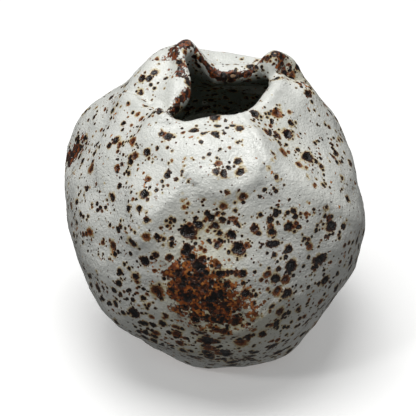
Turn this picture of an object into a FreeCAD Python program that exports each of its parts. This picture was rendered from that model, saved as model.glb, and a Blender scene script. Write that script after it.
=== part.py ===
import FreeCAD, Part
import math
import os

# A hand-pinched bud vase: one stoneware pot under two coats of glaze.
# The origin is the middle of the foot, on the surface that the pot stands on, with +Z up.
# -Y is the front of the pot, where the lip is lowest; azimuths are degrees from +X towards +Y.

# Driving dimensions in millimetres, and what each one means.
SIZES = [
    ("belly_radius", 43.8, "radius of the round body"),
    ("belly_height", 38.5, "height of the middle of the round body"),
    ("foot_radius", 20.5, "radius of the flat foot"),
    ("foot_round", 3.1, "how far the foot's rounded edge stands out from the flat"),
    ("foot_round_height", 0.9, "height of the widest place of the foot's rounded edge"),
    ("wall_thickness", 4.6, "clay wall with both coats of glaze"),
    ("floor_thickness", 6.4, "floor with its glaze"),
    ("floor_radius", 20.0, "radius where the inner floor starts to rise"),
    ("floor_middle_radius", 8.0, "radius of the flat disc in the middle of the floor"),
    ("floor_dish", 0.2, "how far the floor rises from its middle to its edge"),
    ("corner_rise", 0.6, "least height of the wall's foot over the middle of the floor"),
    ("glaze_thickness", 0.4, "thickness of each coat of glaze"),
    ("glaze_line_height", 1.8, "height where the outer glaze stops above the dry foot"),
    ("mouth_x", 0.5, "middle of the mouth, to the right"),
    ("mouth_y", 2.0, "middle of the mouth, to the back"),
    ("neck_share", 0.55, "place of the neck between the shoulder, 0, and the lip, 1"),
    ("lip_round", 0.5, "how far the lip's outer edge is rounded down"),
    ("throat_drop", 2.4, "height of the throat under the lip's inner edge"),
    ("throat_flare", 0.4, "how much wider the throat is than the lip's inner edge"),
    ("fold_edge", 0.8, "half the width of the step at a fold"),
]

# Two places on the rounded top of the lip: the share of its width from the inner edge, and the share
# of the drop to the outer edge, or of the fall to the inner edge, that is reached there.
LIP_OUTER_ROUND = (0.62, 0.12)
LIP_INNER_ROUND = (0.30, 0.22)

# Heights of the rings of the round body, from the flank to the shoulder.
RING_HEIGHTS = [8.5, 21.0, 36.0, 50.0, 62.0, 71.0]

# The pinched rim, seen from the middle of the mouth. Each row holds the azimuth, the radius of the
# lip's inner edge, the height of its crest, its width, how far its outer edge and its inner edge
# lie under the crest, and how far the neck below it is lifted off the straight line to the shoulder.
RIM = [
    # front lobe
    (213, 17.0, 79.6, 4.2, 0.6, 1.4, 1.4),
    (231, 16.0, 79.5, 4.4, 0.2, 1.3, 2.0),
    (247, 12.2, 80.0, 4.6, 0.2, 1.3, 2.4),
    (269, 10.0, 80.3, 4.8, 0.2, 1.3, 2.6),
    (295, 10.2, 80.1, 4.8, 0.2, 1.3, 2.2),
    # valley at the front right
    (307, 10.2, 80.2, 4.8, 0.5, 1.3, 0.3),
    (326, 10.2, 80.4, 4.8, 0.7, 1.3, 0.0),
    # right lobe, a rounded tongue
    (356, 11.5, 81.6, 5.4, 1.2, 1.5, 0.8),
    (10, 12.8, 81.4, 5.8, 1.3, 1.6, 1.4),
    (20, 14.0, 81.2, 6.2, 1.6, 1.8, 1.8),
    (29, 15.4, 80.8, 6.2, 1.8, 2.0, 1.4),
    # right peak
    (37, 16.2, 87.6, 7.4, 2.2, 7.0, 1.6),
    (45, 16.2, 86.8, 7.2, 1.8, 6.0, 2.0),
    # back lobe
    (54, 14.6, 81.4, 6.0, 1.0, 2.0, 2.2),
    (62, 13.0, 80.8, 5.8, 0.6, 1.6, 2.8),
    (75, 11.6, 80.7, 5.8, 0.4, 1.6, 3.6),
    (92, 10.8, 80.6, 5.8, 0.2, 1.6, 5.0),
    (103, 11.6, 81.8, 6.0, 0.4, 1.6, 5.4),
    # left peak, pinched into a spout
    (112, 13.8, 85.4, 5.8, 1.2, 1.8, 5.0),
    (121, 15.6, 88.6, 5.4, 2.0, 1.8, 4.2),
    (133, 14.8, 88.0, 5.6, 2.2, 1.8, 4.6),
    # left lobe, tucked under the front lobe
    (144, 11.2, 85.6, 6.4, 2.0, 1.6, 4.4),
    (154, 9.4, 84.2, 7.0, 1.8, 1.6, 3.6),
    (178, 8.4, 82.8, 7.2, 1.6, 1.8, 0.6),
    (190, 9.6, 81.2, 6.4, 1.4, 2.0, 0.2),
    (203, 14.2, 79.2, 4.6, 0.9, 1.6, 0.4),
]

# Where the potter's fingers pushed the wall. Each row holds the azimuth and the height of the push,
# how far the wall moved (out is positive), and its spread round the pot and up the pot.
PUSHES = [
    # left shoulder, its corner and its valleys
    (149, 67, 4.4, 17, 11),
    (164, 53, 5.0, 16, 11),
    (159, 57, 2.8, 8, 5),
    (181, 66, -2.2, 7, 6),
    (172, 57, -2.4, 5, 7),
    (189, 28, -1.8, 16, 9),
    (203, 44, 0.6, 12, 12),
    # right shoulder and flank
    (50, 74, 4.0, 12, 9),
    (31, 66, 2.2, 12, 9),
    (10, 48, -2.5, 14, 12),
    (-22, 22, -2.9, 20, 13),
    (345, 70, -2.2, 7, 5),
    (334, 46, -1.6, 5, 4),
    # corners of the foot
    (310, 7, 2.0, 9, 5),
    (330, 6, -2.0, 14, 6),
    (240, 7, -2.4, 14, 6),
    # front
    (217, 60, -2.2, 6, 6),
    (236, 61, 2.6, 8, 8),
    (256, 70, 1.6, 10, 5),
    (275, 72, 1.4, 8, 4),
    (266, 58, -2.4, 12, 8),
    (281, 68, -1.4, 4, 4),
    (293, 72, 1.8, 6, 4),
    (303, 66, 1.8, 6, 4),
    (314, 59, 2.0, 7, 5),
    (325, 50, 1.8, 8, 6),
    (297, 56, -2.4, 8, 7),
    (320, 69, -2.2, 5, 5),
    (300, 40, -1.2, 9, 8),
    (262, 44, 1.4, 8, 5),
    (222, 46, -1.4, 7, 7),
    (272, 40, 1.4, 8, 11),
    (250, 42, -1.6, 7, 9),
    (285, 26, 1.2, 9, 6),
    (228, 30, 1.6, 9, 8),
    # back
    (75, 32, -2.0, 14, 10),
    (95, 54, 1.8, 14, 11),
    (120, 38, 1.6, 13, 11),
    (60, 50, -1.8, 11, 10),
    (105, 18, 1.4, 13, 8),
    (40, 24, 1.6, 12, 9),
]

# Folds where one lobe of the rim laps over the next. Each one holds its path in plan from the lip
# outwards, the side of the path that stands proud (1 is the left hand going outwards, -1 the right
# hand), how far that side stands up and its spread, and how far the other dips and its spread.
FOLDS = [
    {
        "path": [
            (-13.5, -8.5),
            (-16.8, -4.5),
            (-20.6, 0.4),
            (-24.4, 5.4),
            (-27.8, 8.8),
            (-32.0, 9.8),
            (-37.5, 9.0),
        ],
        "proud_side": 1,
        "proud": 2.6,
        "proud_spread": 8.0,
        "dip": 2.8,
        "dip_spread": 4.5,
    },
    {
        "path": [
            (15.2, 11.6),
            (20.1, 12.1),
            (25.1, 11.1),
            (28.0, 10.3),
            (31.0, 8.6),
            (34.0, 5.0),
        ],
        "proud_side": -1,
        "proud": 1.6,
        "proud_spread": 8.0,
        "dip": 2.4,
        "dip_spread": 4.0,
    },
]
# A fold keeps its full size to the first of these shares of its path, and has faded out by the second.
FOLD_FADE_START = 0.4
FOLD_FADE_END = 0.9
# It comes in over this length before the start of its path, and between these heights of the wall.
FOLD_LEAD_IN = 5.0
FOLD_LOW = 60.0
FOLD_HIGH = 66.0
# It dies away over the lip, from so many rings before the crest to so many after it.
FOLD_RINGS_BEFORE = 0.5
FOLD_RINGS_AFTER = 2.0

# How finely the skin is drawn: meridians round the pot, and the steps of a meridian from each of
# its rings to the next, from the foot, up the outside, over the lip and down the inside.
MERIDIANS = 180
FOOT_STEPS = [1, 6]
OUTSIDE_STEPS = [4, 5, 5, 5, 5]
NECK_STEPS = [7, 7]
LIP_STEPS = [3, 3, 3, 3]
THROAT_STEPS = [5]
INSIDE_STEPS = [3, 3, 3, 3, 3, 3, 2]
STEPS = FOOT_STEPS + OUTSIDE_STEPS + NECK_STEPS + LIP_STEPS + THROAT_STEPS + INSIDE_STEPS
# The ring that runs along the crest of the lip, where the two coats of glaze meet.
CREST_RING = 1 + len(FOOT_STEPS) + len(OUTSIDE_STEPS) + len(NECK_STEPS)
# The skins are cut into panels, so many round the pot and about so many levels high.
SECTORS = 6
PANEL_LEVELS = 12
# How many times the directions into the wall are evened out before the clay is sunk under its glaze.
EASING_PASSES = 4


def make_sheet(doc):
    """The sheet of driving dimensions."""
    sheet = doc.addObject("Spreadsheet::Sheet", "Sizes")
    for number, (alias, value, meaning) in enumerate(SIZES, start=1):
        sheet.set("A%d" % number, alias)
        sheet.set("B%d" % number, str(value))
        sheet.set("C%d" % number, meaning)
        sheet.setAlias("B%d" % number, alias)
    doc.recompute()
    return sheet


def smooth_step(low, high, value):
    """0 below low, 1 above high, and a smooth rise between them."""
    share = min(max((value - low) / (high - low), 0.0), 1.0)
    return share * share * (3.0 - 2.0 * share)


def hermite(start, end, start_slope, end_slope, share):
    """A cubic from start to end whose slopes at the ends are per unit of share."""
    square = share * share
    cube = square * share
    value = (2.0 * cube - 3.0 * square + 1.0) * start
    value += (cube - 2.0 * square + share) * start_slope
    value += (3.0 * square - 2.0 * cube) * end
    value += (cube - square) * end_slope
    return value


def level_slope(before, after):
    """The slope between two stretches that never overshoots: none where they turn back."""
    if before * after <= 0.0:
        return 0.0
    return 2.0 * before * after / (before + after)


def rim_row(number):
    """A row of the rim table, carried on past a full turn either way."""
    rows = sorted(RIM)
    row = rows[number % len(rows)]
    turns = number // len(rows)
    return (row[0] + 360.0 * turns,) + row[1:]


def rim_at(azimuth):
    """The rim's values at an azimuth, eased between the rows of the table."""
    number = -1
    while rim_row(number + 1)[0] <= azimuth:
        number += 1
    rows = [rim_row(number + step) for step in (-1, 0, 1, 2)]
    gaps = [rows[step + 1][0] - rows[step][0] for step in range(3)]
    share = (azimuth - rows[1][0]) / gaps[1]
    values = []
    for column in range(1, len(rows[0])):
        slopes = [(rows[step + 1][column] - rows[step][column]) / gaps[step] for step in range(3)]
        start_slope = level_slope(slopes[0], slopes[1]) * gaps[1]
        end_slope = level_slope(slopes[1], slopes[2]) * gaps[1]
        values.append(hermite(rows[1][column], rows[2][column], start_slope, end_slope, share))
    return values


def finger_push(azimuth, height, radius):
    """How far the fingers moved the wall at a place on the round body."""
    total = 0.0
    for middle, level, push, spread_round, spread_up in PUSHES:
        turn = math.radians((azimuth - middle + 180.0) % 360.0 - 180.0)
        along = turn * radius / spread_round
        up = (height - level) / spread_up
        total += push * math.exp(-along * along - up * up)
    return total


def fold_place(path, x, y):
    """Signed distance from a fold's path, the share of its length, and the distance before its start."""
    lengths = [math.dist(a, b) for a, b in zip(path, path[1:])]
    run = 0.0
    before = 0.0
    nearest = None
    for a, b, length in zip(path, path[1:], lengths):
        along = ((x - a[0]) * (b[0] - a[0]) + (y - a[1]) * (b[1] - a[1])) / length
        if run == 0.0:
            before = max(-along, 0.0)
        along = min(max(along, 0.0), length)
        near_x = a[0] + (b[0] - a[0]) * along / length
        near_y = a[1] + (b[1] - a[1]) * along / length
        distance = math.hypot(x - near_x, y - near_y)
        left = (b[0] - a[0]) * (y - a[1]) - (b[1] - a[1]) * (x - a[0])
        if nearest is None or distance < abs(nearest[0]):
            nearest = (math.copysign(distance, left), (run + along) / sum(lengths))
        run += length
    return nearest[0], nearest[1], before


def fold_push(x, y, edge):
    """How far the folds move the outside of the rim at a place in plan."""
    total = 0.0
    for fold in FOLDS:
        side, share, before = fold_place(fold["path"], x, y)
        side *= fold["proud_side"]
        fade = 1.0 - smooth_step(FOLD_FADE_START, FOLD_FADE_END, share)
        fade *= 1.0 - smooth_step(0.0, FOLD_LEAD_IN, before)
        step = smooth_step(-edge, edge, side)
        proud = fold["proud"] * math.exp(-max(side, 0.0) / fold["proud_spread"])
        dip = fold["dip"] * math.exp(min(side, 0.0) / fold["dip_spread"])
        total += fade * (step * proud - (1.0 - step) * dip)
    return total


def body_ring(sheet, azimuth, height, depth):
    """A point of the pushed round body, at a depth under its outside."""
    rise = height - sheet.belly_height
    radius = math.sqrt(sheet.belly_radius ** 2 - rise ** 2)
    push = finger_push(azimuth, height, radius) - depth
    share = 1.0 + push / sheet.belly_radius
    turn = math.radians(azimuth)
    return (radius * share * math.cos(turn), radius * share * math.sin(turn), sheet.belly_height + rise * share)


def flat_ring(azimuth, radius, height, middle_x=0.0, middle_y=0.0):
    """A point of a level round ring."""
    turn = math.radians(azimuth)
    return (middle_x + radius * math.cos(turn), middle_y + radius * math.sin(turn), height)


def lip_rings(sheet, azimuth, shoulder):
    """The rings from the neck over the lip to the throat, at one azimuth."""
    inner, crest, width, outer_drop, inner_fall, lift = rim_at(azimuth)
    outer_share, drop_share = LIP_OUTER_ROUND
    inner_share, fall_share = LIP_INNER_ROUND

    def mouth(radius, height):
        return flat_ring(azimuth, radius, height, sheet.mouth_x, sheet.mouth_y)

    outer_edge = mouth(inner + width, crest - outer_drop - sheet.lip_round)
    share = sheet.neck_share
    neck = [(1.0 - share) * low + share * high for low, high in zip(shoulder, outer_edge)]
    neck[2] += lift
    return [
        tuple(neck),
        outer_edge,
        mouth(inner + outer_share * width, crest - drop_share * outer_drop),
        mouth(inner + inner_share * width, crest - fall_share * inner_fall),
        mouth(inner, crest - inner_fall),
        mouth(inner + sheet.throat_flare, crest - inner_fall - sheet.throat_drop),
    ]


def meridian_rings(sheet, azimuth):
    """The rings that a meridian passes through, from the foot to the middle of the inner floor."""
    foot_edge = sheet.foot_radius + sheet.foot_round
    points = [
        flat_ring(azimuth, sheet.foot_radius, 0.0),
        flat_ring(azimuth, foot_edge, sheet.foot_round_height),
    ]
    points += [body_ring(sheet, azimuth, height, 0.0) for height in RING_HEIGHTS]
    points += lip_rings(sheet, azimuth, points[-1])
    for height in reversed(RING_HEIGHTS):
        x, y, z = body_ring(sheet, azimuth, height, sheet.wall_thickness)
        points.append((x, y, max(z, sheet.floor_thickness + sheet.corner_rise)))
    points.append(flat_ring(azimuth, sheet.floor_radius, sheet.floor_thickness + sheet.floor_dish))
    points.append(flat_ring(azimuth, sheet.floor_middle_radius, sheet.floor_thickness))
    return points


def on_curve(points, place):
    """A point of the smooth curve through the rings of a meridian; place counts the rings."""
    last = len(points) - 1
    number = min(int(place), last - 1)
    share = place - number
    start, end = points[number], points[number + 1]
    before = points[number - 1] if number > 0 else [2 * a - b for a, b in zip(start, end)]
    after = points[number + 2] if number + 2 <= last else [2 * b - a for a, b in zip(start, end)]
    gaps = [max(math.sqrt(math.dist(a, b)), 0.001) for a, b in ((before, start), (start, end), (end, after))]
    values = []
    for a, b, c, d in zip(before, start, end, after):
        start_slope = (b - a) / gaps[0] - (c - a) / (gaps[0] + gaps[1]) + (c - b) / gaps[1]
        end_slope = (c - b) / gaps[1] - (d - b) / (gaps[1] + gaps[2]) + (d - c) / gaps[2]
        values.append(hermite(b, c, start_slope * gaps[1], end_slope * gaps[1], share))
    return values


def ring_places():
    """Where a meridian is drawn, counted in rings."""
    places = []
    for number, count in enumerate(STEPS):
        places += [number + step / count for step in range(count)]
    return places + [float(len(STEPS))]


def folded(sheet, point, place):
    """A point of the outside with the folds pressed in; they die away over the lip."""
    x, y, z = point
    hold = 1.0 - smooth_step(CREST_RING - FOLD_RINGS_BEFORE, CREST_RING + FOLD_RINGS_AFTER, place)
    hold *= smooth_step(FOLD_LOW, FOLD_HIGH, z)
    if hold == 0.0:
        return FreeCAD.Vector(x, y, z)
    away = FreeCAD.Vector(x, y, z - sheet.belly_height).normalize()
    return FreeCAD.Vector(x, y, z) + away * (hold * fold_push(x, y, sheet.fold_edge))


def skin_rows(sheet):
    """The glazed skin as rows of points: one closed row for each place of the meridians."""
    places = ring_places()
    meridians = []
    for number in range(MERIDIANS):
        rings = meridian_rings(sheet, 360.0 * number / MERIDIANS)
        meridians.append([folded(sheet, on_curve(rings, place), place) for place in places])
    return [list(row) for row in zip(*meridians)]


def wall_directions(rows):
    """The direction into the wall at every point of the rows."""
    last = len(rows) - 1
    directions = []
    for level, row in enumerate(rows):
        below = rows[max(level - 1, 0)]
        above = rows[min(level + 1, last)]
        across = [row[(number + 1) % MERIDIANS] - row[number - 1] for number in range(MERIDIANS)]
        up = [above[number] - below[number] for number in range(MERIDIANS)]
        directions.append([rise.cross(run).normalize() for rise, run in zip(up, across)])
    return directions


def eased(directions):
    """The directions averaged with their neighbours, so that a sunk skin can't fold over itself."""
    last = len(directions) - 1
    result = []
    for level, row in enumerate(directions):
        below = directions[max(level - 1, 0)]
        above = directions[min(level + 1, last)]
        new_row = []
        for number, direction in enumerate(row):
            beside = row[number - 1] + row[(number + 1) % MERIDIANS]
            total = direction * 4.0 + beside * 2.0 + below[number] + above[number]
            new_row.append(total.normalize())
        result.append(new_row)
    return result


def sunk_rows(rows, depth):
    """The same rows moved into the wall by the thickness of the glaze."""
    directions = wall_directions(rows)
    for _ in range(EASING_PASSES):
        directions = eased(directions)
    directions[0] = [FreeCAD.Vector(-point.x, -point.y, 0.0).normalize() for point in rows[0]]
    directions[-1] = [FreeCAD.Vector(0.0, 0.0, -1.0)] * MERIDIANS
    return [
        [point + direction * depth for point, direction in zip(row, into_wall)]
        for row, into_wall in zip(rows, directions)
    ]


def skin_surface(rows):
    """A cubic B-spline surface over the rows, closed round the pot; its V counts the rows."""
    count = len(rows)
    poles = [[row[number] for row in rows] for number in range(MERIDIANS)]
    round_knots = [float(number) for number in range(MERIDIANS + 1)]
    up_knots = [float(number) for number in range(count - 2)]
    up_mults = [4] + [1] * (count - 4) + [4]
    surface = Part.BSplineSurface()
    surface.buildFromPolesMultsKnots(
        poles, [1] * (MERIDIANS + 1), up_mults, round_knots, up_knots, True, False, 3, 3
    )
    return surface


def panel(surface, sector, low, high):
    """The part of a skin inside one sector of the pot and between two levels."""
    width = MERIDIANS / SECTORS
    patch = surface.copy()
    patch.segment(sector * width, (sector + 1) * width, low, high)
    return patch


def band(surface, low, high):
    """The faces of a skin between two levels."""
    count = max(1, round((high - low) / PANEL_LEVELS))
    levels = [low + round((high - low) * number / count) for number in range(count + 1)]
    faces = []
    for start, end in zip(levels, levels[1:]):
        faces += [panel(surface, sector, start, end).toShape() for sector in range(SECTORS)]
    return faces


def level_edges(surface, level):
    """The edges of a skin at one level, one for each sector."""
    low = max(level - 1.0, 0.0)
    high = low + 1.0
    return [panel(surface, sector, low, high).vIso(level).toShape() for sector in range(SECTORS)]


def disc(surface, level):
    """The flat face inside a level ring."""
    return [Part.Face(Part.Wire(level_edges(surface, level)))]


def collar(outer_surface, inner_surface, level):
    """The narrow faces that close a coat of glaze at one level."""
    pairs = zip(level_edges(outer_surface, level), level_edges(inner_surface, level))
    return [Part.makeRuledSurface(outer, inner) for outer, inner in pairs]


def closed_solid(faces):
    """One solid inside faces that share their edges."""
    shell = Part.makeShell(faces)
    shell.sewShape()
    solid = Part.makeSolid(Part.Shell(shell.Faces))
    if solid.Volume < 0.0:
        solid.reverse()
    return solid


def clay_body(clay, top):
    """The stoneware wall, its lip and its floor, standing on a flat dry foot."""
    return closed_solid(band(clay, 0.0, top) + disc(clay, 0.0) + disc(clay, top))


def outer_glaze(skin, clay, line, crest):
    """The coat outside, from the glaze line above the foot to the crest of the lip."""
    faces = band(skin, line, crest) + band(clay, line, crest)
    return closed_solid(faces + collar(skin, clay, line) + collar(skin, clay, crest))


def inner_glaze(skin, clay, crest, top):
    """The coat inside, from the crest of the lip down and over the whole floor."""
    faces = band(skin, crest, top) + band(clay, crest, top) + collar(skin, clay, crest)
    return closed_solid(faces + disc(skin, top) + disc(clay, top))


def add_piece(doc, label, shape):
    """One piece of the pot as an object of the document."""
    piece = doc.addObject("Part::Feature", label)
    piece.Label = label
    piece.Shape = shape
    piece.Placement = FreeCAD.Placement()
    return piece


def row_at_height(rows, height):
    """The level between the first rows that passes a height on the outside."""
    for level, row in enumerate(rows):
        if min(point.z for point in row) > height:
            return float(level)
    raise ValueError("the glaze line is above the lip")


def check(doc, pieces):
    """Stops the build if anything failed."""
    for thing in doc.Objects:
        for word in ("Invalid", "Error"):
            if word in thing.State:
                raise RuntimeError("%s is %s" % (thing.Label, word))
    for piece in pieces:
        if piece.Shape.isNull() or not piece.Shape.isValid():
            raise RuntimeError("%s has no valid shape" % piece.Label)
        if len(piece.Shape.Solids) != 1:
            raise RuntimeError("%s is not one solid" % piece.Label)


def main():
    doc = FreeCAD.newDocument("ceramic_bud_vase")
    sheet = make_sheet(doc)
    rows = skin_rows(sheet)
    skin = skin_surface(rows)
    clay = skin_surface(sunk_rows(rows, sheet.glaze_thickness))
    top = float(len(rows) - 3)
    crest = float(ring_places().index(float(CREST_RING)) - 1)
    line = row_at_height(rows, sheet.glaze_line_height) - 1.0
    pieces = [
        add_piece(doc, "clay_body", clay_body(clay, top)),
        add_piece(doc, "outer_glaze", outer_glaze(skin, clay, line, crest)),
        add_piece(doc, "inner_glaze", inner_glaze(skin, clay, crest, top)),
    ]
    doc.recompute()
    check(doc, pieces)
    os.makedirs("parts", exist_ok=True)
    for piece in pieces:
        piece.Shape.exportStep("parts/%s.step" % piece.Label)
        box = piece.Shape.BoundBox
        print(piece.Label, round(piece.Shape.Volume), "mm3", box)


main()
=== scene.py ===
import math
import random

import bpy
import numpy as np
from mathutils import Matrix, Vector, kdtree, noise
from mathutils.bvhtree import BVHTree

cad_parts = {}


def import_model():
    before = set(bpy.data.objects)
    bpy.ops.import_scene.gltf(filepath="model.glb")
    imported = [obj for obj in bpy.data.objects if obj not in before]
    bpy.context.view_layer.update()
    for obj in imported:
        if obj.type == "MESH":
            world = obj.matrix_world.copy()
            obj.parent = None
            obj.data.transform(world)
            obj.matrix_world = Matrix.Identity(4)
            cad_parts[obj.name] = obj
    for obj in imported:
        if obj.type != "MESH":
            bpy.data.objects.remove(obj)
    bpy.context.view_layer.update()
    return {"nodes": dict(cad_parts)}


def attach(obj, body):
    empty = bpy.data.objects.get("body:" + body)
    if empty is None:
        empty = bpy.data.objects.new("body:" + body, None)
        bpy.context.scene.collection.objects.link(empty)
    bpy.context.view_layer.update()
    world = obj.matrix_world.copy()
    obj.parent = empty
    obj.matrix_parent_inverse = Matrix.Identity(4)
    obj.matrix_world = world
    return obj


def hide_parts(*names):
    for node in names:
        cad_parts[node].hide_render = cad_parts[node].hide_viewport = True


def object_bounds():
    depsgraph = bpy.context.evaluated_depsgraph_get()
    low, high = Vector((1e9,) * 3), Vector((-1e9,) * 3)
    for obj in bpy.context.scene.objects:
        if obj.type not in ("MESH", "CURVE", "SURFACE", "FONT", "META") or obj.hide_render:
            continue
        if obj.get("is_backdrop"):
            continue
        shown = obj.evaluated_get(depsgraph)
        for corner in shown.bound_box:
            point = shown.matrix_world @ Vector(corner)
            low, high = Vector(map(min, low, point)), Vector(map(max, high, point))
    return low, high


# A pinched stoneware bud vase with a thick speckled glaze. The two coats of glaze are built here in
# full detail over the CAD's skin; the clay under them keeps its CAD shape. Metres, +Z up, -Y front.
# Azimuths are degrees from +X towards +Y, seen from above.

MM = 0.001

# The grid of the glaze: meridians round the pot, and rows from the glaze line up to the crest of the
# lip and from there down the inside to the middle of the floor.
MERIDIANS = 480
OUTER_ROWS = 186
INNER_ROWS = 130
FIRST_AZIMUTH = 0.37
MOUTH_AXIS = np.array([0.5 * MM, 2.0 * MM, 0.0])
SMOOTHING_PASSES = 3
# The lip's inner edge: how level its skin still is there, and how far its line is evened out.
EDGE_TILT = 0.55
EDGE_PASSES = 8
# The edge lies at least this many millimetres past the crest of the lip.
EDGE_START = 1.0
# The pot's radius where it is widest, in millimetres.
BELLY_RADIUS = 43.8
# The hidden side of a coat, which lies on the clay, takes one row in so many.
BACK_STEP = 12
BACK_DEPTH = 0.36 * MM
# A point of the CAD further than this from the clay is on the shown side of a coat.
SHOWN_DISTANCE = 0.2 * MM
# The most that the surface is sunk, so that the clay under the glaze stays covered.
MOST_SUNK = 0.27 * MM
# Relief that stands proud fades out from this distance to the CAD's box, and is gone by the next.
BOX_MARGIN = 1.0 * MM
BOX_CLEARANCE = 0.05 * MM


# ---------------------------------------------------------------- the skin, read from the CAD

def mesh_arrays(node):
    """The welded points and the triangles of a CAD node."""
    mesh = node.data
    mesh.calc_loop_triangles()
    points = np.empty(len(mesh.vertices) * 3, np.float32)
    mesh.vertices.foreach_get("co", points)
    triangles = np.empty(len(mesh.loop_triangles) * 3, np.int32)
    mesh.loop_triangles.foreach_get("vertices", triangles)
    points = points.reshape(-1, 3).astype(float)
    whole = np.round(points / (0.001 * MM)).astype(np.int64)
    found, first, welded = np.unique(whole, axis=0, return_index=True, return_inverse=True)
    triangles = welded.reshape(-1)[triangles].reshape(-1, 3)
    a, b, c = triangles.T
    return points[first], triangles[(a != b) & (b != c) & (c != a)]


def shown_triangles(node, clay_tree):
    """The welded points of a coat of glaze and its triangles that don't lie on the clay."""
    points, triangles = mesh_arrays(node)
    away = np.array([clay_tree.find_nearest(Vector(point))[3] for point in points])
    return points, triangles[(away[triangles] > SHOWN_DISTANCE).all(axis=1)]


def edge_numbers(triangles):
    """Every edge's two points once, and the three edge numbers of each triangle."""
    pairs = np.concatenate([triangles[:, [0, 1]], triangles[:, [1, 2]], triangles[:, [2, 0]]])
    edges, numbers = np.unique(np.sort(pairs, axis=1), axis=0, return_inverse=True)
    return edges, numbers.reshape(3, -1).T


def chained(links):
    """The longest run of edge numbers in which each is linked to the next."""
    neighbours = {}
    for a, b in links:
        neighbours.setdefault(a, []).append(b)
        neighbours.setdefault(b, []).append(a)
    longest = []
    seen = set()
    ends = [edge for edge, others in neighbours.items() if len(others) == 1]
    for end in ends:
        if end in seen:
            continue
        run = [end]
        seen.add(end)
        while True:
            ahead = [edge for edge in neighbours[run[-1]] if edge not in seen]
            if not ahead:
                break
            run.append(ahead[0])
            seen.add(ahead[0])
        if len(run) > len(longest):
            longest = run
    return longest


def profiles(points, triangles, axis, azimuths):
    """Where half-planes through an upright axis cut a skin: one line of points for each azimuth."""
    edges, numbers = edge_numbers(triangles)
    start, end = points[edges[:, 0]], points[edges[:, 1]]
    lines = []
    for azimuth in azimuths:
        turn = math.radians(azimuth)
        out = np.array([math.cos(turn), math.sin(turn), 0.0])
        across = np.array([-out[1], out[0], 0.0])
        start_side = (start - axis) @ across
        end_side = (end - axis) @ across
        cut = start_side * end_side < 0.0
        share = np.zeros(len(edges))
        share[cut] = start_side[cut] / (start_side[cut] - end_side[cut])
        crossing = start + (end - start) * share[:, None]
        cut &= (crossing - axis) @ out > 0.0
        cut_sides = cut[numbers]
        crossed = cut_sides.sum(axis=1) == 2
        pairs = numbers[crossed][cut_sides[crossed]].reshape(-1, 2)
        lines.append(crossing[chained(pairs.tolist())])
    return lines


def evenly(line, count):
    """A line drawn with count points at even steps of its length."""
    steps = np.linalg.norm(np.diff(line, axis=0), axis=1)
    run = np.concatenate([[0.0], np.cumsum(steps)])
    places = np.linspace(0.0, run[-1], count)
    return np.stack([np.interp(places, run, line[:, axis]) for axis in range(3)], axis=1)


def smoothed(grid, passes):
    """The grid with the CAD's facets smoothed out of it; its two end rows stay."""
    for _ in range(passes):
        grid = 0.5 * grid + 0.25 * (np.roll(grid, 1, axis=1) + np.roll(grid, -1, axis=1))
        inner = 0.5 * grid[1:-1] + 0.25 * (grid[:-2] + grid[2:])
        grid = np.concatenate([grid[:1], inner, grid[-1:]])
    return grid


def skin_grid(nodes):
    """The whole glazed skin as rows of points, from the glaze line over the lip to the floor."""
    clay_points, clay_triangles = mesh_arrays(nodes["clay_body"])
    clay_tree = BVHTree.FromPolygons(clay_points.tolist(), clay_triangles.tolist())
    azimuths = [FIRST_AZIMUTH + 360.0 * number / MERIDIANS for number in range(MERIDIANS)]
    outer_skin = shown_triangles(nodes["outer_glaze"], clay_tree)
    inner_skin = shown_triangles(nodes["inner_glaze"], clay_tree)
    outer_lines = profiles(*outer_skin, MOUTH_AXIS, azimuths)
    inner_lines = profiles(*inner_skin, MOUTH_AXIS, azimuths)
    columns = []
    for outer, inner in zip(outer_lines, inner_lines):
        outer = outer if outer[0][2] < outer[-1][2] else outer[::-1]
        inner = inner if inner[0][2] > inner[-1][2] else inner[::-1]
        upper = evenly(outer, OUTER_ROWS + 1)
        middle_of_floor = MOUTH_AXIS + [0.0, 0.0, inner[-1][2]]
        lower = evenly(np.concatenate([upper[-1:], inner[1:], [middle_of_floor]]), INNER_ROWS + 1)
        columns.append(np.concatenate([upper, lower[1:]]))
    return smoothed(np.stack(columns, axis=1), SMOOTHING_PASSES)


def grid_normals(grid):
    """The direction away from the wall at each point of the grid."""
    round_the_pot = np.roll(grid, -1, axis=1) - np.roll(grid, 1, axis=1)
    up_the_pot = np.concatenate([grid[1:2] - grid[:1], grid[2:] - grid[:-2], grid[-1:] - grid[-2:-1]])
    normals = np.cross(round_the_pot, up_the_pot)
    normals[-1] = (0.0, 0.0, 1.0)
    return normals / np.maximum(np.linalg.norm(normals, axis=2, keepdims=True), 1e-12)


# ---------------------------------------------------------------- marks and relief

def smooth_step(low, high, value):
    """0 below low, 1 above high, and a smooth rise between them; low may be the larger."""
    share = np.clip((value - low) / (high - low), 0.0, 1.0)
    return share * share * (3.0 - 2.0 * share)


def cloud(points, size, seed):
    """Smooth noise from about -1 to 1 whose lumps are about size metres, at each point."""
    shift = Vector((seed * 7.3, seed * 3.1, seed * 5.7))
    flat = points.reshape(-1, 3) / size
    values = [noise.noise(Vector(point) + shift) for point in flat.tolist()]
    return np.array(values).reshape(points.shape[:-1])


def azimuth_of(points):
    """Degrees from +X towards +Y round the pot's axis."""
    return np.degrees(np.arctan2(points[..., 1], points[..., 0])) % 360.0


def turned(azimuth, middle):
    """Degrees from a middle azimuth, from -180 to 180."""
    return (azimuth - middle + 180.0) % 360.0 - 180.0


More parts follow.
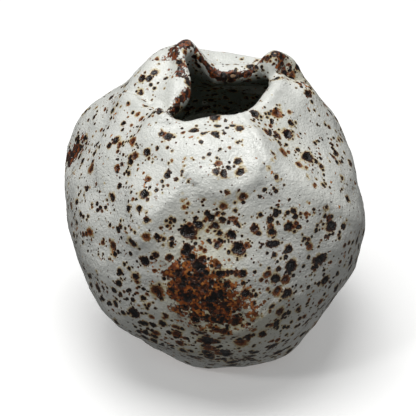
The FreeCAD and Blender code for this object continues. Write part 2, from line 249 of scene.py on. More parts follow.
class Skin:
    """The glazed skin: its points, the directions away from the wall, and where each point is."""

    def __init__(self, grid):
        self.points = grid
        self.normals = grid_normals(grid)
        self.azimuth = azimuth_of(grid)
        self.height = grid[..., 2] / MM
        rows = np.arange(len(grid))[:, None]
        self.inside = np.broadcast_to(rows > OUTER_ROWS, self.height.shape)
        along = np.linalg.norm(np.diff(grid, axis=0), axis=2)
        run = np.concatenate([np.zeros((1, MERIDIANS)), np.cumsum(along, axis=0)])
        past_crest = (run - run[OUTER_ROWS]) / MM
        # The lip's inner edge is where the skin turns down into the mouth.
        turned_down = (past_crest > EDGE_START) & (self.normals[..., 2] < EDGE_TILT)
        edge = past_crest[turned_down.argmax(axis=0), np.arange(MERIDIANS)]
        for _ in range(EDGE_PASSES):
            edge = 0.5 * edge + 0.25 * (np.roll(edge, 1) + np.roll(edge, -1))
        self.past_edge = past_crest - edge

    def blob(self, azimuth, height, wide, tall):
        """1 at a place on the outside, fading to 0 over wide and tall millimetres."""
        across = np.radians(turned(self.azimuth, azimuth)) * BELLY_RADIUS / wide
        up = (self.height - height) / tall
        return np.exp(-across * across - up * up) * ~self.inside


# Where the glaze is more or less speckled: azimuth, height, width, tallness, how many more marks
# there are, and how much larger they are.
SPECKLED = [
    # a band of large marks down the front, thickest over and under the rust
    (264, 60, 16, 9, 3.6, 0.40),
    (266, 76, 12, 5, 0.8, 0.30),
    (262, 51, 13, 6, 1.2, 0.20),
    (262, 44, 9, 7, 3.0, 0.10),
    (265, 35, 16, 8, 2.0, 0.15),
    (240, 34, 12, 10, 0.6, 0.10),
    (265, 22, 22, 10, 3.0, 0.15),
    (284, 12, 28, 8, 1.8, 0.05),
    # the flanks
    (228, 52, 12, 14, 0.1, 0.10),
    (300, 45, 16, 14, 0.5, 0.20),
    (288, 33, 12, 8, 2.2, 0.10),
    (306, 60, 14, 9, 1.2, 0.25),
    (335, 55, 16, 20, 0.9, -0.15),
    (205, 45, 16, 24, 0.9, -0.10),
    (345, 25, 20, 12, 1.8, -0.15),
    (222, 24, 18, 10, 0.3, 0.00),
    # round the mouth
    (325, 75, 12, 7, 2.0, 0.30),
    (30, 77, 16, 8, 5.0, 0.00),
    (150, 80, 14, 8, 1.2, 0.00),
    (205, 72, 12, 8, 0.8, 0.05),
    # quieter places behind the mouth and on the right lobe
    (90, 80, 20, 6, -0.6, -0.15),
    (10, 80, 9, 5, -3.5, 0.00),
]
# The density on the rust beside the plain ground's, the least density anywhere, and the density inside,
# which starts so many millimetres past the lip's inner edge.
RUST_SPECKLED = 3.0
LEAST_SPECKLED = 0.05
INSIDE_SHARE = 2.2
INSIDE_START = 1.0
# Where the marks are burnt browner than elsewhere: azimuth, height, width, tallness, how much.
BROWNED = [
    (280, 40, 20, 14, 0.45),
    (265, 20, 22, 12, 0.30),
    (310, 62, 14, 12, 0.30),
    (30, 76, 20, 10, 0.30),
]

# How many marks of each kind are strewn: least and most radius, how they lean to the small ones, how
# strongly they keep to the speckled places, and the room that each one keeps, in its own radii.
STREWN = [
    (640, 0.95, 1.70, 0.8, 1.2, 1.7),
    (1250, 0.6, 1.05, 0.7, 0.9, 0.0),
    (10500, 0.22, 0.62, 0.9, 0.8, 0.0),
]
# The share of the marks that touch another, that one's least and most size beside the first, and the
# most that it lies to a side, in radii of the first.
TOUCHING = 0.22
TOUCHING_SIZE = (0.4, 0.9)
TOUCHING_REACH = 1.5
# How strongly the warmth of the marks leans to the cold ones.
WARMTH_LEAN = 3
MARK_SEED = 41
# Each face knows its nearest marks: those that it lies within so many radii of, and so much further.
MARKS_PER_FACE = 3
MARK_REACH = 1.9
FACE_ALLOWANCE = 0.6 * MM
# A place in a face's list that holds no mark.
FAR_AWAY = 1.0
EMPTY_SIZE = 1.0 * MM

# The crater of a mark: the least radius that has one, its reach in radii, and the largest radius that
# its relief still grows with.
CRATER_LEAST = 0.55 * MM
CRATER_REACH = 1.6
CRATER_MOST = 1.5 * MM
# Its rim's place and width in radii, and its height beside the radius; its core's width and depth.
CRATER_RIM = (0.95, 0.3, 0.075)
CRATER_CORE = (0.6, 0.16)


def speckling(skin, rust):
    """How densely each point of the skin is speckled."""
    density = 1.0 + RUST_SPECKLED * np.clip(rust, 0.0, 1.0)
    for *place, more, _ in SPECKLED:
        density += more * skin.blob(*place)
    density = np.where(skin.past_edge > INSIDE_START, INSIDE_SHARE, density)
    return np.clip(density, LEAST_SPECKLED, None)


def mark_growth(skin):
    """How much larger than usual the marks are at each point of the skin."""
    growth = np.ones(skin.height.shape)
    for *place, _, larger in SPECKLED:
        growth += larger * skin.blob(*place)
    return growth


def browning(skin):
    """How much browner than usual the marks are at each point of the skin."""
    return sum(much * skin.blob(*place) for *place, much in BROWNED)


def patch_areas(skin):
    """The area of skin that each point stands for."""
    round_the_pot = np.roll(skin.points, -1, axis=1) - skin.points
    up_the_pot = np.concatenate([np.diff(skin.points, axis=0), np.zeros((1, MERIDIANS, 3))])
    return np.linalg.norm(np.cross(round_the_pot, up_the_pot), axis=2)


def strewn_marks(skin, density):
    """Every mark as (place, radius, warmth), strewn at random where the glaze is speckled."""
    dice = random.Random(MARK_SEED)
    areas = patch_areas(skin)
    growth = mark_growth(skin).reshape(-1)
    brown = browning(skin).reshape(-1)
    places = skin.points.reshape(-1, 3)
    marks = []
    for count, least, most, lean, keeping, room in STREWN:
        chance = (areas * density ** keeping).reshape(-1)
        sums = np.cumsum(chance / chance.sum())
        for _ in range(count):
            number = int(np.searchsorted(sums, dice.random()))
            place = places[number]
            radius = (least + (most - least) * dice.random() ** (1.0 + lean)) * growth[number] * MM
            warmth = dice.random() ** WARMTH_LEAN + brown[number] * dice.random()
            if room and crowded(place, radius, marks, room):
                continue
            marks.append((place, radius, warmth))
            while dice.random() < TOUCHING:
                shift = np.array([dice.uniform(-1.0, 1.0) for _ in range(3)]) * radius * TOUCHING_REACH
                marks.append((place + shift, radius * dice.uniform(*TOUCHING_SIZE), warmth))
    return marks


def crowded(place, radius, marks, room):
    """Whether a mark would lie too close to one that is already there."""
    return any(np.linalg.norm(place - other) < room * max(radius, size) for other, size, _ in marks)


def tree_of(points):
    """A tree that finds the numbers of the points near a place."""
    tree = kdtree.KDTree(len(points))
    for number, point in enumerate(points):
        tree.insert(point, number)
    tree.balance()
    return tree


def marks_near(centres, marks):
    """For each face, its nearest marks by their own size: places, radii and warmths."""
    tree = tree_of(centres)
    found = [[] for _ in centres]
    for number, (place, radius, _) in enumerate(marks):
        for _, face, distance in tree.find_range(place, MARK_REACH * radius + FACE_ALLOWANCE):
            found[face].append((distance / radius, number))
    places = np.full((MARKS_PER_FACE, len(centres), 3), FAR_AWAY)
    sizes = np.full((MARKS_PER_FACE, len(centres)), EMPTY_SIZE)
    warmths = np.zeros((MARKS_PER_FACE, len(centres)))
    for face, near in enumerate(found):
        for rank, (_, number) in enumerate(sorted(near)[:MARKS_PER_FACE]):
            places[rank, face], sizes[rank, face], warmths[rank, face] = marks[number]
    return places, sizes, warmths


def mark_relief(skin, marks):
    """Each larger mark is a shallow crater with a soft raised rim."""
    flat = skin.points.reshape(-1, 3)
    tree = tree_of(flat)
    rim_place, rim_width, rim_height = CRATER_RIM
    core_width, core_depth = CRATER_CORE
    relief = np.zeros(len(flat))
    for place, radius, _ in marks:
        if radius < CRATER_LEAST:
            continue
        for _, number, distance in tree.find_range(place, CRATER_REACH * radius):
            share = distance / radius
            rim = math.exp(-((share - rim_place) / rim_width) ** 2)
            core = math.exp(-(share / core_width) ** 2)
            relief[number] += (rim_height * rim - core_depth * core) * min(radius, CRATER_MOST)
    return relief.reshape(skin.height.shape)


# The rust: azimuth, height, width, tallness, strength and darkness of each patch on the outside.
RUST_PATCHES = [
    (255, 48, 7, 6, 0.58, 0.4),
    (264, 47, 8, 6, 0.58, 0.0),
    (273, 43, 7, 5, 0.52, 0.0),
    (257, 40, 7, 6, 0.52, 0.3),
    (266, 36, 8, 5, 0.42, 0.3),
    (279, 38, 7, 5, 0.38, 0.4),
    (172, 57, 4, 6, 1.00, 0.8),
]
# Rust along the lip: azimuth, degrees, millimetres past the inner edge, spread, strength, darkness.
RUST_EDGES = [
    (124, 12, -5.0, 4.5, 1.05, 0.7),
    (146, 12, -3.6, 1.6, 0.75, 0.8),
    (150, 14, -0.5, 1.6, 0.95, 0.8),
    (176, 15, -0.2, 1.5, 1.05, 0.8),
    (196, 9, -0.4, 1.1, 0.90, 0.7),
    (100, 16, -0.3, 1.8, 1.05, 0.9),
    (74, 20, -0.2, 1.4, 0.85, 0.9),
    (56, 10, -0.6, 1.2, 0.70, 0.8),
    (40, 9, -4.0, 3.6, 0.75, 0.7),
]
# Less rust than this takes its darkness as if it were so much.
LEAST_RUST = 0.01


def rust_field(skin):
    """Where the glaze has burnt to rust, from 0 to about 1, and how dark the rust is there."""
    field = np.zeros(skin.height.shape)
    darkness = np.zeros(skin.height.shape)
    for *place, strength, dark in RUST_PATCHES:
        part = strength * skin.blob(*place)
        field += part
        darkness += part * dark
    for azimuth, degrees, past, spread, strength, dark in RUST_EDGES:
        across = turned(skin.azimuth, azimuth) / degrees
        along = (skin.past_edge - past) / spread
        part = strength * np.exp(-across ** 2 - along ** 2)
        field += part
        darkness += part * dark
    return field, darkness / np.maximum(field, LEAST_RUST)


# Pinched ridges of the front: the path as azimuths and heights, the rise, and its spread to each side,
# first on the left hand along the path.
RIDGES = [
    # the ridge that runs down to the right from the mouth
    ([(298, 76), (308, 69), (318, 62), (327, 56), (335, 50)], 1.1, 4.5, 2.6),
    # the edge of the shelf under the mouth
    ([(289, 73), (281, 71), (271, 70), (261, 71)], 0.8, 2.2, 4.5),
    # the bulge on the left of the front
    ([(250, 70), (243, 64), (240, 57)], 0.8, 2.6, 4.5),
    # puckers beside and under the rust
    ([(268, 54), (273, 47), (277, 41), (281, 37)], 0.8, 2.6, 1.5),
    ([(261, 34), (268, 31), (277, 32), (285, 36)], 0.6, 1.7, 2.4),
    ([(254, 50), (255, 43), (258, 37)], 0.5, 1.6, 2.4),
]


# The unevenness of the surface in millimetres: its level, and the height, size and seed of each cloud
# of lumps; then the clouds that the rust adds, and the share of the unevenness that the inside has.
LUMP_LEVEL = 0.15
LUMPS = [(0.65, 9.0, 1), (0.22, 4.0, 2), (0.06, 1.7, 3)]
RUST_LUMPS = [(0.20, 1.5, 4), (0.12, 3.0, 5)]
INSIDE_LUMPS = 0.4


def ridges(skin):
    """How far the pinched ridges stand proud, in millimetres."""
    across = np.radians(skin.azimuth) * BELLY_RADIUS
    rise = np.zeros(skin.height.shape)
    for path, height, left_spread, right_spread in RIDGES:
        places = [(math.radians(azimuth) * BELLY_RADIUS, level) for azimuth, level in path]
        nearest = np.full(skin.height.shape, np.inf)
        left = np.zeros(skin.height.shape, bool)
        for (x, y), (next_x, next_y) in zip(places, places[1:]):
            run_x, run_y = next_x - x, next_y - y
            along = ((across - x) * run_x + (skin.height - y) * run_y) / (run_x ** 2 + run_y ** 2)
            along = np.clip(along, 0.0, 1.0)
            off_x, off_y = across - x - along * run_x, skin.height - y - along * run_y
            distance = np.hypot(off_x, off_y)
            left = np.where(distance < nearest, run_x * off_y - run_y * off_x > 0.0, left)
            nearest = np.minimum(distance, nearest)
        spread = np.where(left, left_spread, right_spread)
        rise = np.maximum(rise, height * np.exp(-(nearest / spread) ** 2))
    return np.where(skin.inside, 0.0, rise)


def lumps(skin, rust):
    """The hand-pinched unevenness of the surface, in metres."""
    relief = np.full(skin.height.shape, LUMP_LEVEL)
    for height, size, seed in LUMPS:
        relief += height * cloud(skin.points, size * MM, seed)
    relief = np.where(skin.inside, INSIDE_LUMPS * relief, relief) + ridges(skin)
    grain = sum(height * cloud(skin.points, size * MM, seed) for height, size, seed in RUST_LUMPS)
    return (relief + np.clip(rust, 0.0, 1.0) * grain) * MM


def worked_skin(skin, marks, rust):
    """The points of the skin with all their relief, inside the CAD's box and off the clay."""
    relief = np.maximum(lumps(skin, rust) + mark_relief(skin, marks), -MOST_SUNK)
    low, high = (np.array(corner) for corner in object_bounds())
    room = np.minimum(skin.points - low, high - skin.points).min(axis=2)
    relief = np.where(relief > 0.0, relief * smooth_step(BOX_CLEARANCE, BOX_MARGIN, room), relief)
    points = skin.points + skin.normals * relief[..., None]
    points[-1] = points[-1].mean(axis=0)
    return np.clip(points, low, high)


# ---------------------------------------------------------------- the two coats of glaze

def back_rows(points, normals, rows):
    """The hidden side of a coat, which lies on the clay."""
    return points[rows] - normals[rows] * BACK_DEPTH


def ring_faces(first, second):
    """Quads between two rings of point numbers."""
    return np.stack([first, np.roll(first, -1), np.roll(second, -1), second], axis=1)


def coat_mesh(name, points, back):
    """A closed coat: the shown rows, and the hidden rows behind them from the last to the first."""
    rings = np.concatenate([points, back[::-1]])
    count = len(rings)
    numbers = np.arange(count * MERIDIANS).reshape(count, MERIDIANS)
    faces = [ring_faces(numbers[row], numbers[(row + 1) % count]) for row in range(count)]
    mesh = bpy.data.meshes.new(name)
    mesh.from_pydata(rings.reshape(-1, 3).tolist(), [], np.concatenate(faces).tolist())
    return mesh


def put_values(mesh, name, kind, domain, values):
    """An attribute that the material reads."""
    attribute = mesh.attributes.new(name, kind, domain)
    key = "vector" if kind == "FLOAT_VECTOR" else "value"
    attribute.data.foreach_set(key, np.ascontiguousarray(values, dtype=np.float32).reshape(-1))


def padded(values, count):
    """Values of the shown rows, carried on to the hidden ones as zeros."""
    flat = np.asarray(values).reshape(-1)
    return np.concatenate([flat, np.zeros(count - len(flat))])


def back_steps(rows):
    """The rows of the shown side that the hidden side repeats."""
    steps = list(range(rows.start, rows.stop, BACK_STEP))
    if steps[-1] != rows.stop - 1:
        steps.append(rows.stop - 1)
    return steps


def put_marks(mesh, marks):
    """Each face's nearest marks, as attributes of the face."""
    centres = np.empty(len(mesh.polygons) * 3)
    mesh.polygons.foreach_get("center", centres)
    places, sizes, warmths = marks_near(centres.reshape(-1, 3), marks)
    for rank in range(MARKS_PER_FACE):
        put_values(mesh, "mark_place_%d" % rank, "FLOAT_VECTOR", "FACE", places[rank])
        put_values(mesh, "mark_size_%d" % rank, "FLOAT", "FACE", sizes[rank])
        put_values(mesh, "mark_warmth_%d" % rank, "FLOAT", "FACE", warmths[rank])


def glaze_coat(name, node, skin, points, marks, fields, rows, material):
    """One coat of glaze as a closed piece in full detail, in place of its CAD node."""
    steps = back_steps(rows)
    mesh = coat_mesh(name, points[rows], back_rows(skin.points, skin.normals, steps))
    for field, values in fields.items():
        put_values(mesh, field, "FLOAT", "POINT", padded(values[rows], len(mesh.vertices)))
    put_marks(mesh, marks)
    mesh.polygons.foreach_set("use_smooth", [True] * len(mesh.polygons))
    shown = grid_normals(points)[rows].reshape(-1, 3)
    hidden = -skin.normals[steps[::-1]].reshape(-1, 3)
    mesh.normals_split_custom_set_from_vertices(np.concatenate([shown, hidden]).tolist())
    mesh.materials.append(material)
    piece = bpy.data.objects.new(name, mesh)
    bpy.context.scene.collection.objects.link(piece)
    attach(piece, "root")
    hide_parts(node)


# Painted shade inside the mouth: a darker tone of the same white glaze takes over within this many
# millimetres past the lip's inner edge, and between these heights, from the higher down to the lower.
PAINTED_SHADE_REACH = 1.5
PAINTED_SHADE_TOP = 80.5
PAINTED_SHADE_FULL = 75.0


def painted_shade_inside_share(skin):
    """0 on the white glaze, and 1 where painted shade has darkened the inside of the mouth."""
    past = smooth_step(0.0, PAINTED_SHADE_REACH, skin.past_edge)
    return past * smooth_step(PAINTED_SHADE_TOP, PAINTED_SHADE_FULL, skin.height)


def skin_fields(skin, rust, darkness, density):
    """What the material reads at each point of the skin."""
    # The share of painted shade inside the mouth goes to the material with the other fields.
    return {"rust": rust, "darkness": darkness, "painted_shade_inside": painted_shade_inside_share(skin), "speckling": density}


# ---------------------------------------------------------------- materials

class Shader:
    """A material under construction: short calls that add a node and give its output."""

    def __init__(self, name):
        self.material = bpy.data.materials.new(name)
        self.material.use_nodes = True
        self.tree = self.material.node_tree
        self.surface = self.tree.nodes["Principled BSDF"]
        self.place = self.add("ShaderNodeTexCoord").outputs["Object"]

    def add(self, kind, **settings):
        node = self.tree.nodes.new(kind)
        for key, value in settings.items():
            setattr(node, key, value)
        return node

    def put(self, socket, value):
        if isinstance(value, bpy.types.NodeSocket):
            self.tree.links.new(value, socket)
        else:
            socket.default_value = value

    def math(self, operation, *values, clamp=False):
        node = self.add("ShaderNodeMath", operation=operation, use_clamp=clamp)
        for socket, value in zip(node.inputs, values):
            self.put(socket, value)
        return node.outputs[0]

    def product(self, first, second):
        return self.math("MULTIPLY", first, second)

    def plus(self, base, value, times):
        """The base and so many times the value."""
        return self.math("MULTIPLY_ADD", value, times, base)

    def without(self, value):
        """1 less the value."""
        return self.math("SUBTRACT", 1.0, value)

    def share(self, value, low, high):
        """0 at low and 1 at high, smoothly."""
        node = self.add("ShaderNodeMapRange", interpolation_type="SMOOTHSTEP")
        for name, setting in (("Value", value), ("From Min", low), ("From Max", high)):
            self.put(node.inputs[name], setting)
        return node.outputs[0]

    def mix(self, share, first, second):
        node = self.add("ShaderNodeMix", data_type="RGBA")
        for socket, value in ((0, share), (6, first), (7, second)):
            self.put(node.inputs[socket], value)
        return node.outputs[2]

    def blend(self, share, first, second):
        node = self.add("ShaderNodeMix", data_type="FLOAT")
        for socket, value in ((0, share), (2, first), (3, second)):
            self.put(node.inputs[socket], value)
        return node.outputs[0]

    def ramp(self, value, stops):
        node = self.add("ShaderNodeValToRGB")
        elements = node.color_ramp.elements
        elements[0].position, elements[0].color = stops[0]
        elements[1].position, elements[1].color = stops[-1]
        for position, colour in stops[1:-1]:
            elements.new(position).color = colour
        self.put(node.inputs[0], value)
        return node.outputs[0]

    def noise(self, size, detail=2.0, roughness=0.5):
        """Noise from 0 to 1 with lumps of about size metres."""
        node = self.add("ShaderNodeTexNoise")
        self.put(node.inputs["Vector"], self.place)
        node.inputs["Scale"].default_value = 1.0 / size
        node.inputs["Detail"].default_value = detail
        node.inputs["Roughness"].default_value = roughness
        return node.outputs["Fac"]

    def cells(self, size):
        """Cells of about size metres: the distance in metres from each one's middle, and a chance."""
        node = self.add("ShaderNodeTexVoronoi")
        self.put(node.inputs["Vector"], self.place)
        node.inputs["Scale"].default_value = 1.0 / size
        distance = self.math("MULTIPLY", node.outputs["Distance"], size)
        return distance, self.red(node.outputs["Color"])

    def value(self, name):
        return self.add("ShaderNodeAttribute", attribute_name=name).outputs["Fac"]

    def vector(self, name):
        return self.add("ShaderNodeAttribute", attribute_name=name).outputs["Vector"]

    def distance(self, place):
        node = self.add("ShaderNodeVectorMath", operation="DISTANCE")
        self.put(node.inputs[0], self.place)
        self.put(node.inputs[1], place)
        return node.outputs["Value"]

    def red(self, colour):
        node = self.add("ShaderNodeSeparateColor")
        self.put(node.inputs[0], colour)
        return node.outputs[0]

    def bump(self, height, distance):
        node = self.add("ShaderNodeBump")
        node.inputs["Distance"].default_value = distance
        self.put(node.inputs["Height"], height)
        self.put(self.surface.inputs["Normal"], node.outputs[0])


def tone(red, green, blue):
    """A colour given as it looks, from 0 to 255, in the linear values that a shader takes."""
    channels = []
    for value in (red, green, blue):
        value = value / 255.0
        channels.append(value / 12.92 if value <= 0.04045 else ((value + 0.055) / 1.055) ** 2.4)
    return (*channels, 1.0)


def mark_field(shader):
    """The nearest mark at a point: how far out it is as a share of its radius, and its warmth."""
    field, warmth = None, None
    for rank in range(MARKS_PER_FACE):
        size = shader.value("mark_size_%d" % rank)
        share = shader.math("DIVIDE", shader.distance(shader.vector("mark_place_%d" % rank)), size)
        heat = shader.value("mark_warmth_%d" % rank)
        if field is None:
            field, warmth = share, heat
            continue
        nearer = shader.math("LESS_THAN", share, field)
        warmth = shader.blend(nearer, warmth, heat)
        field = shader.math("SMOOTH_MIN", field, share, 0.25)
    return field, warmth


# Colours of the glaze, its marks and the bare clay, as they look.
GROUND_TONES = (tone(212, 214, 208), tone(226, 227, 221))
CLOUDED_TONE = tone(190, 196, 190)
STAINED_TONE = tone(200, 195, 166)
# The inside's tones: the same white glaze darkened with painted shade, for the shadowed inside of the
# mouth.
INSIDE_PAINTED_SHADE_TONES = (tone(136, 146, 136), tone(164, 172, 162))
HALO_TONES = (tone(198, 186, 130), tone(178, 140, 70))
SPECK_TONES = (tone(28, 16, 10), tone(104, 54, 22))
CLAY_TONES = (tone(150, 120, 92), tone(178, 148, 118))
GROG_TONE = tone(74, 50, 34)
# From the middle of a mark, at 0, to its edge, at 1.
MARK_RAMP = [
    (0.00, tone(14, 9, 7)),
    (0.30, tone(6, 4, 3)),
    (0.62, tone(10, 5, 3)),
    (0.82, tone(48, 21, 8)),
    (0.94, tone(98, 48, 17)),
    (1.00, tone(136, 86, 36)),
]
WARM_MARK_RAMP = [
    (0.00, tone(44, 20, 10)),
    (0.50, tone(82, 38, 15)),
    (1.00, tone(160, 98, 44)),
]
# From burnt black to bright rust.
RUST_RAMP = [
    (0.00, tone(24, 12, 8)),
    (0.36, tone(54, 25, 10)),
    (0.60, tone(114, 52, 16)),
    (0.84, tone(152, 80, 26)),
    (1.00, tone(178, 112, 50)),
]
# The specks between the marks: the size of their cells, the least chance of a cell that holds one, and
# the largest radius. A cell without one counts as one of the smallest radius, which doesn't show.
SPECKS = [
    (1.7 * MM, 0.70, 0.34 * MM),
    (0.9 * MM, 0.82, 0.18 * MM),
]
SMALLEST_SPECK = 0.004 * MM
GLAZE_BUMP = 0.26 * MM
CLAY_BUMP = 0.25 * MM
INSIDE_ROUGHNESS = 0.5
RUST_ROUGHNESS = 0.36


def ground_colour(shader, density, painted_shade_inside):
    """The white ground, a little uneven, and stained where it is most speckled; inside the mouth it is
    darkened with painted shade.
    """
    ground = shader.mix(shader.share(shader.noise(7.0 * MM, 4.0, 0.6), 0.3, 0.7), *GROUND_TONES)
    clouded = shader.product(shader.share(shader.noise(1.6 * MM, 2.0), 0.55, 0.8), 0.25)
    ground = shader.mix(clouded, ground, CLOUDED_TONE)
    stained = shader.product(shader.share(density, 1.5, 6.0), 0.55)
    ground = shader.mix(stained, ground, STAINED_TONE)
    # Painted shade: the inside of the mouth is darkened towards these tones.
    if painted_shade_inside:
        dark = shader.mix(shader.noise(3.0 * MM, 3.0), *INSIDE_PAINTED_SHADE_TONES)
        ground = shader.mix(shader.value("painted_shade_inside"), ground, dark)
    return ground


def with_halos(shader, colour, field):
    """The colour with a halo round each mark, heavier on one side."""
    reach = shader.share(shader.noise(3.2 * MM, 2.0), 0.35, 0.72)
    end = shader.plus(1.08, reach, 0.9)
    halo = shader.without(shader.share(field, 0.95, end))
    halo_tone = shader.mix(shader.noise(1.3 * MM, 1.0), *HALO_TONES)
    return shader.mix(shader.product(halo, 0.85), colour, halo_tone)


def with_marks(shader, colour, field, warmth, in_mark):
    """The colour with the marks over it."""
    cold, warm = shader.ramp(field, MARK_RAMP), shader.ramp(field, WARM_MARK_RAMP)
    return shader.mix(in_mark, colour, shader.mix(shader.share(warmth, 0.35, 0.8), cold, warm))


def speck_share(shader, density, ragged):
    """1 in the fine specks between the marks, and 0 outside them."""
    fields = []
    for size, least, radius in SPECKS:
        distance, chance = shader.cells(size)
        chosen = shader.product(chance, shader.math("POWER", density, 0.12))
        reach = shader.product(shader.share(chosen, least, 1.0), radius)
        fields.append(shader.math("DIVIDE", distance, shader.math("ADD", reach, SMALLEST_SPECK)))
    speck = shader.plus(shader.math("MINIMUM", *fields), ragged, 0.8)
    return shader.without(shader.share(speck, 0.8, 1.15))


def rust_share(shader, ragged, wander, grain):
    """1 in the rust and 0 outside it, with an edge that is broken into grains."""
    edge = shader.plus(shader.value("rust"), shader.math("SUBTRACT", grain, 0.5), 0.45)
    edge = shader.plus(edge, ragged, 1.1)
    edge = shader.plus(edge, wander, 1.7)
    return shader.share(edge, 0.50, 0.62)


def with_rust(shader, colour, field, in_rust, wander, grain):
    """The colour with the rust over it, which leaves the marks' cores showing."""
    bright = shader.plus(shader.math("ADD", grain, 0.1), shader.value("darkness"), -0.45)
    rust_tone = shader.ramp(shader.plus(bright, wander, 1.0), RUST_RAMP)
    return shader.mix(shader.product(in_rust, shader.share(field, 0.6, 0.95)), colour, rust_tone)


def glaze_roughness(shader, field, in_mark, in_rust, painted_shade_inside):
    """Satin ground, shiny mark cores, and dry mark rims and rust."""
    roughness = shader.blend(shader.noise(2.2 * MM, 3.0), 0.20, 0.34)
    mark_roughness = shader.blend(shader.share(field, 0.3, 0.8), 0.14, 0.38)
    roughness = shader.blend(in_mark, roughness, mark_roughness)
    roughness = shader.blend(in_rust, roughness, RUST_ROUGHNESS)
    if painted_shade_inside:
        roughness = shader.blend(shader.value("painted_shade_inside"), roughness, INSIDE_ROUGHNESS)
    return roughness


def glaze_height(shader, field, in_mark, in_speck, in_rust, grain):
    """The fine relief: orange peel, the rims of the marks, the specks and the grains of the rust."""
    peel = shader.product(shader.noise(0.75 * MM, 2.0, 0.55), 1.1)
    height = shader.plus(peel, shader.noise(2.0 * MM, 2.0), 0.55)
    height = shader.plus(height, shader.product(in_mark, shader.share(field, 0.2, 0.8)), 0.35)
    height = shader.plus(height, in_speck, 0.25)
    return shader.plus(height, shader.product(in_rust, grain), 0.7)


def glaze_material(name, painted_shade_inside):
    """Thick satin glaze, white outside, with iron marks, halos and rust; the inside coat is darkened with
    painted shade.
    """
    shader = Shader(name)
    ragged = shader.math("SUBTRACT", shader.noise(0.9 * MM, 4.0, 0.7), 0.5)
    wander = shader.math("SUBTRACT", shader.noise(2.6 * MM, 1.0), 0.5)
    field, warmth = mark_field(shader)
    field = shader.plus(shader.plus(field, ragged, 1.5), wander, 0.9)
    density = shader.value("speckling")
    _, grain = shader.cells(0.75 * MM)
    in_mark = shader.without(shader.share(field, 0.93, 1.05))
    in_speck = speck_share(shader, density, ragged)
    in_rust = rust_share(shader, ragged, wander, grain)

    colour = with_halos(shader, ground_colour(shader, density, painted_shade_inside), field)
    colour = with_marks(shader, colour, field, warmth, in_mark)
    colour = shader.mix(in_speck, colour, shader.mix(shader.noise(4.0 * MM), *SPECK_TONES))
    colour = with_rust(shader, colour, field, in_rust, wander, grain)
    shader.put(shader.surface.inputs["Base Color"], colour)
    roughness = glaze_roughness(shader, field, in_mark, in_rust, painted_shade_inside)
    shader.put(shader.surface.inputs["Roughness"], roughness)
    shader.bump(glaze_height(shader, field, in_mark, in_speck, in_rust, grain), GLAZE_BUMP)
    return shader.material


def stoneware_material():
    """Bare fired clay with darker grog, as it shows at the dry foot."""
    shader = Shader("stoneware")
    base = shader.mix(shader.noise(4.0 * MM, 4.0, 0.6), *CLAY_TONES)
    distance, chance = shader.cells(1.1 * MM)
    near = shader.without(shader.share(distance, 0.12 * MM, 0.3 * MM))
    grog = shader.product(shader.share(chance, 0.72, 0.8), near)
    shader.put(shader.surface.inputs["Base Color"], shader.mix(grog, base, GROG_TONE))
    shader.put(shader.surface.inputs["Roughness"], shader.blend(shader.noise(1.5 * MM), 0.75, 0.92))
    shader.bump(shader.noise(0.6 * MM, 4.0, 0.65), CLAY_BUMP)
    return shader.material


# ---------------------------------------------------------------- stage, light and camera

FLOOR_SIZE = 6.0
CAMERA_ELEVATION = 35.0
CAMERA_DISTANCE = 0.45
CAMERA_AIM = Vector((-3.2, 1.8, 40.8)) * MM
CAMERA_LENS = 132.0
LIGHT_AIM = Vector((0.0, 0.0, 40.0)) * MM
WHITE = (1.0, 1.0, 1.0, 1.0)
FLOOR_TONE = tone(246, 246, 245)
FLOOR_ROUGHNESS = 0.9
FLOOR_SPECULAR = 0.1

# Lights: place, size in metres, power in watts.
LIGHTS = [
    ((-0.05, 0.02, 0.62), 0.40, 3.15),
    ((-0.45, -0.36, 0.52), 0.09, 0.9),
    ((0.50, -0.35, 0.04), 0.40, 0.4),
    ((0.15, 0.70, 0.25), 0.50, 0.6),
]
WORLD_STRENGTH = 0.124
FLOOR_GLOW = 0.25


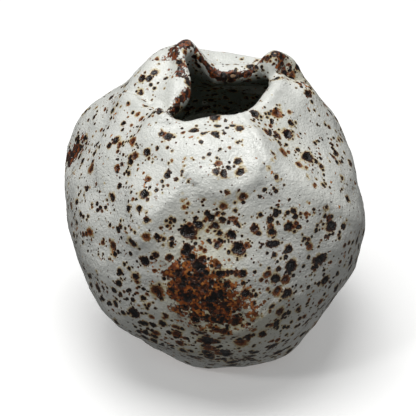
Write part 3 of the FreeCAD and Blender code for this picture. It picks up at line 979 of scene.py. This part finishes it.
def pale_floor():
    """A plain pale floor, which throws no light up at the pot, so the pot's underside keeps its shade."""
    mesh = bpy.data.meshes.new("floor")
    half = FLOOR_SIZE / 2
    corners = [(-half, -half, 0.0), (half, -half, 0.0), (half, half, 0.0), (-half, half, 0.0)]
    mesh.from_pydata(corners, [], [(0, 1, 2, 3)])
    floor = bpy.data.objects.new("floor", mesh)
    bpy.context.scene.collection.objects.link(floor)
    shader = Shader("floor")
    shader.surface.inputs["Base Color"].default_value = FLOOR_TONE
    shader.surface.inputs["Roughness"].default_value = FLOOR_ROUGHNESS
    shader.surface.inputs["Specular IOR Level"].default_value = FLOOR_SPECULAR
    shader.surface.inputs["Emission Color"].default_value = WHITE
    shader.surface.inputs["Emission Strength"].default_value = FLOOR_GLOW
    mesh.materials.append(shader.material)
    floor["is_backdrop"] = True
    floor.visible_diffuse = False
    floor.visible_glossy = False


def soft_lights():
    """Large soft lamps and an even pale surround."""
    for number, (place, size, power) in enumerate(LIGHTS):
        light = bpy.data.lights.new("light_%d" % number, "AREA")
        light.size = size
        light.energy = power
        lamp = bpy.data.objects.new(light.name, light)
        lamp.location = place
        lamp.rotation_euler = (LIGHT_AIM - Vector(place)).to_track_quat("-Z", "Y").to_euler()
        bpy.context.scene.collection.objects.link(lamp)
    world = bpy.data.worlds.new("studio")
    world.use_nodes = True
    background = world.node_tree.nodes["Background"]
    background.inputs["Color"].default_value = WHITE
    background.inputs["Strength"].default_value = WORLD_STRENGTH
    bpy.context.scene.world = world


def front_camera():
    """The camera, which looks down at the front of the pot."""
    lift = math.radians(CAMERA_ELEVATION)
    camera = bpy.data.objects.new("camera", bpy.data.cameras.new("camera"))
    camera.data.lens = CAMERA_LENS
    camera.location = CAMERA_AIM + Vector((0.0, -math.cos(lift), math.sin(lift))) * CAMERA_DISTANCE
    camera.rotation_euler = (CAMERA_AIM - camera.location).to_track_quat("-Z", "Y").to_euler()
    bpy.context.scene.collection.objects.link(camera)
    bpy.context.scene.camera = camera
    bpy.context.scene.view_settings.view_transform = "Standard"


def main():
    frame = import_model()
    skin = Skin(skin_grid(frame["nodes"]))
    rust, darkness = rust_field(skin)
    density = speckling(skin, rust)
    marks = strewn_marks(skin, density)
    points = worked_skin(skin, marks, rust)
    fields = skin_fields(skin, rust, darkness, density)
    glaze_coat(
        "speckled_glaze_outside", "outer_glaze", skin, points, marks, fields,
        slice(0, OUTER_ROWS + 1), glaze_material("speckled_glaze", False),
    )
    # The inside coat: the same white glaze, with painted shade darkening it down into the mouth.
    glaze_coat(
        "inside_coat_with_painted_shade", "inner_glaze", skin, points, marks, fields,
        slice(OUTER_ROWS, len(points)), glaze_material("liner_glaze", True),
    )
    clay = frame["nodes"]["clay_body"]
    clay.data.materials.clear()
    clay.data.materials.append(stoneware_material())
    pale_floor()
    soft_lights()
    front_camera()


main()
